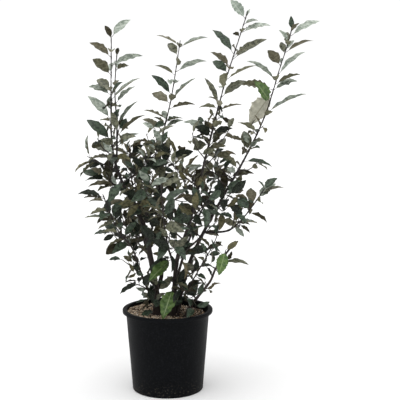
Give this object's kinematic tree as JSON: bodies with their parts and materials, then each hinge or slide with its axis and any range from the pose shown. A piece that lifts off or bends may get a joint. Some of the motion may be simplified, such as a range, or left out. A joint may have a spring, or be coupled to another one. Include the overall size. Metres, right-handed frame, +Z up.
{
  "type": "potted ebbinge silverberry",
  "caption": "Upright open evergreen silverberry shrub: slender dark stems leaning apart with grey-green leathery leaves, in a black plastic nursery pot filled with bark soil.",
  "frame": {"origin": "centre of the pot's flat underside", "axes": "+Z up along the pot's axis; -Y towards the viewer of the picture, who looks into the open side of the crown; +X to that viewer's right"},
  "size_m": [0.7203, 0.4804, 1.1544],
  "materials": {
    "black_plastic": "satin black moulded plastic",
    "bark_soil": "rough brown bark and peat mix",
    "dark_bark": "dull dark brown bark",
    "grey_green_leaf": "leathery grey-green leaf with an olive-bronze underside"
  },
  "bodies": {
    "root": {"bough_front": "dark_bark", "bough_low_left": "dark_bark", "bough_right": "dark_bark", "bough_whip": "dark_bark", "leaves_back_left_1": "grey_green_leaf", "leaves_back_left_top": "grey_green_leaf", "leaves_back_right_1": "grey_green_leaf", "leaves_back_right_top": "grey_green_leaf", "leaves_bough_right_top": "grey_green_leaf", "leaves_far_right_1": "grey_green_leaf", "leaves_far_right_2": "grey_green_leaf", "leaves_far_right_3": "grey_green_leaf", "leaves_far_right_4": "grey_green_leaf", "leaves_far_right_5": "grey_green_leaf", "leaves_far_right_foot": "grey_green_leaf", "leaves_far_right_top": "grey_green_leaf", "leaves_front_1": "grey_green_leaf", "leaves_front_right_1": "grey_green_leaf", "leaves_front_right_2": "grey_green_leaf", "leaves_front_right_3": "grey_green_leaf", "leaves_front_right_foot": "grey_green_leaf", "leaves_front_thin_top": "grey_green_leaf", "leaves_front_top": "grey_green_leaf", "leaves_left_1": "grey_green_leaf", "leaves_left_2": "grey_green_leaf", "leaves_left_3": "grey_green_leaf", "leaves_left_4": "grey_green_leaf", "leaves_left_5": "grey_green_leaf", "leaves_left_6": "grey_green_leaf", "leaves_left_top": "grey_green_leaf", "leaves_low_left_1": "grey_green_leaf", "leaves_low_left_2": "grey_green_leaf", "leaves_low_left_top": "grey_green_leaf", "leaves_middle_1": "grey_green_leaf", "leaves_middle_2": "grey_green_leaf", "leaves_middle_3": "grey_green_leaf", "leaves_middle_4": "grey_green_leaf", "leaves_middle_5": "grey_green_leaf", "leaves_middle_top": "grey_green_leaf", "leaves_right_1": "grey_green_leaf", "leaves_right_2": "grey_green_leaf", "leaves_right_3": "grey_green_leaf", "leaves_right_4": "grey_green_leaf", "leaves_right_5": "grey_green_leaf", "leaves_right_foot": "grey_green_leaf", "leaves_right_top": "grey_green_leaf", "leaves_trunk_foot": "grey_green_leaf", "leaves_whip_top": "grey_green_leaf", "pot": "black_plastic", "soil": "bark_soil", "stem_back_left": "dark_bark", "stem_back_right": "dark_bark", "stem_far_right": "dark_bark", "stem_front_right": "dark_bark", "stem_front_thin": "dark_bark", "stem_left": "dark_bark", "stem_middle": "dark_bark", "stem_right": "dark_bark", "trunk": "dark_bark"}
  },
  "joints": []
}
